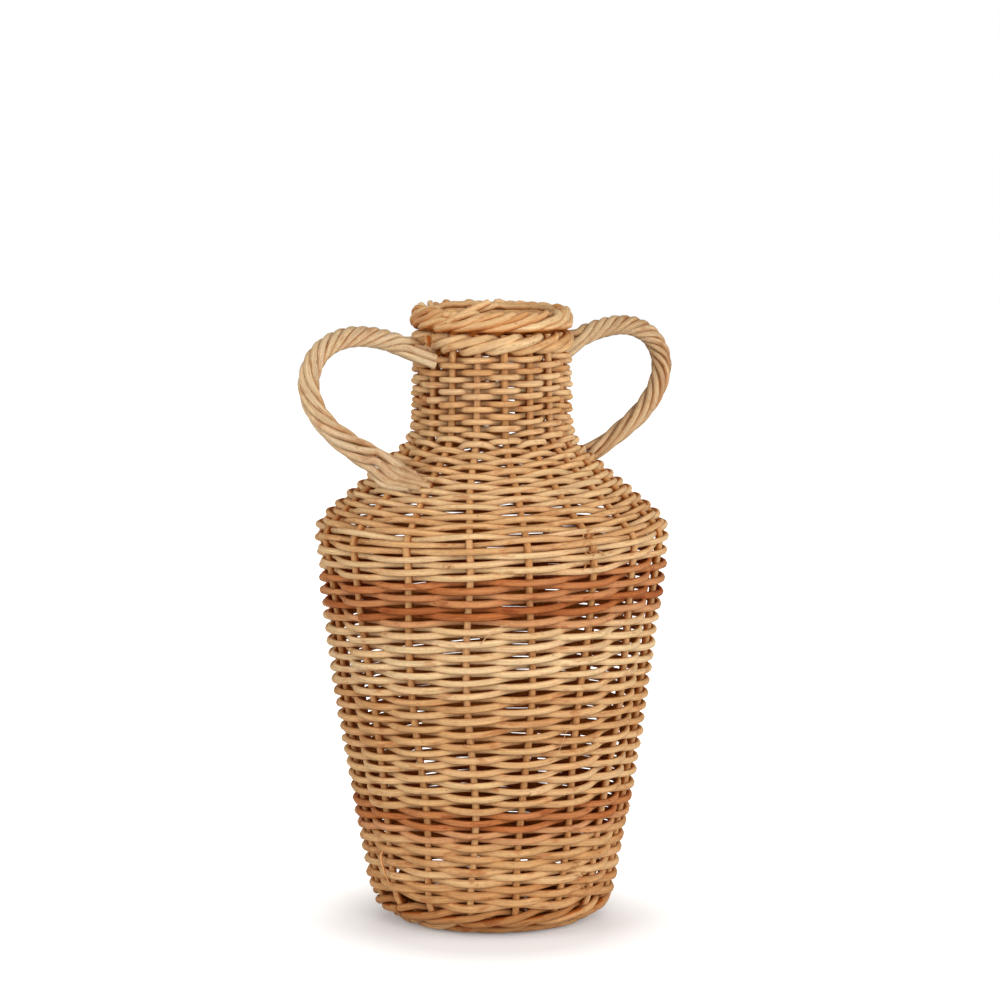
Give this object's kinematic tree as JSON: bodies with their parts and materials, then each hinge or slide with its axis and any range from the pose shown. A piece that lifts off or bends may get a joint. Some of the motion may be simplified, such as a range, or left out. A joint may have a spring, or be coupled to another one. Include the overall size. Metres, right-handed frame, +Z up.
{
  "type": "wicker vase",
  "caption": "Shouldered wicker vase woven round upright stakes, with a narrow neck, an open mouth with a rolled border, and a rope handle on each side.",
  "frame": {"origin": "on the floor, on the axis of the body", "axes": "+Z up the axis towards the mouth, X through both handles, +Y the shortest way, across the body from front to back"},
  "size_m": [0.3023, 0.2417, 0.4114],
  "materials": {
    "natural_rod": "peeled natural rod, dry and matt",
    "golden_rod": "darker golden peeled rod, dry and matt",
    "russet_rod": "russet stained rod, dry and matt",
    "stake_rod": "peeled upright rod, dry and matt"
  },
  "bodies": {
    "root": {"base_binding": "natural_rod", "base_wale_1": "golden_rod", "base_wale_2": "golden_rod", "base_wale_3": "golden_rod", "base_weave": "natural_rod", "body_weave_1": "natural_rod", "body_weave_2": "natural_rod", "body_weave_3": "natural_rod", "body_weave_4": "natural_rod", "body_weave_5": "natural_rod", "body_weave_6": "natural_rod", "border_strand_1": "natural_rod", "border_strand_2": "natural_rod", "border_strand_3": "natural_rod", "border_strand_4": "natural_rod", "foot_wale_1": "golden_rod", "foot_wale_2": "golden_rod", "foot_wale_3": "golden_rod", "foot_weave_1": "natural_rod", "foot_weave_2": "natural_rod", "heel_wale_1": "golden_rod", "heel_wale_2": "golden_rod", "heel_wale_3": "golden_rod", "left_handle_core": "natural_rod", "left_handle_strand_1": "natural_rod", "left_handle_strand_2": "natural_rod", "left_handle_strand_3": "natural_rod", "left_handle_strand_4": "natural_rod", "left_handle_strand_5": "natural_rod", "left_handle_strand_6": "natural_rod", "lower_band": "russet_rod", "neck_weave_1": "natural_rod", "neck_weave_2": "natural_rod", "neck_weave_3": "natural_rod", "right_handle_core": "natural_rod", "right_handle_strand_1": "natural_rod", "right_handle_strand_2": "natural_rod", "right_handle_strand_3": "natural_rod", "right_handle_strand_4": "natural_rod", "right_handle_strand_5": "natural_rod", "right_handle_strand_6": "natural_rod", "rim_wale_1": "natural_rod", "rim_wale_2": "natural_rod", "rim_wale_3": "natural_rod", "shoulder_weave_1": "natural_rod", "shoulder_weave_2": "natural_rod", "shoulder_weave_3": "natural_rod", "shoulder_weave_4": "natural_rod", "stake_half_rod": "stake_rod", "stake_rod_1": "stake_rod", "stake_rod_2": "stake_rod", "stake_rod_3": "stake_rod", "stake_rod_4": "stake_rod", "stake_rod_5": "stake_rod", "stake_rod_6": "stake_rod", "stake_rod_7": "stake_rod", "stake_rod_8": "stake_rod", "upper_band": "russet_rod"}
  },
  "joints": []
}
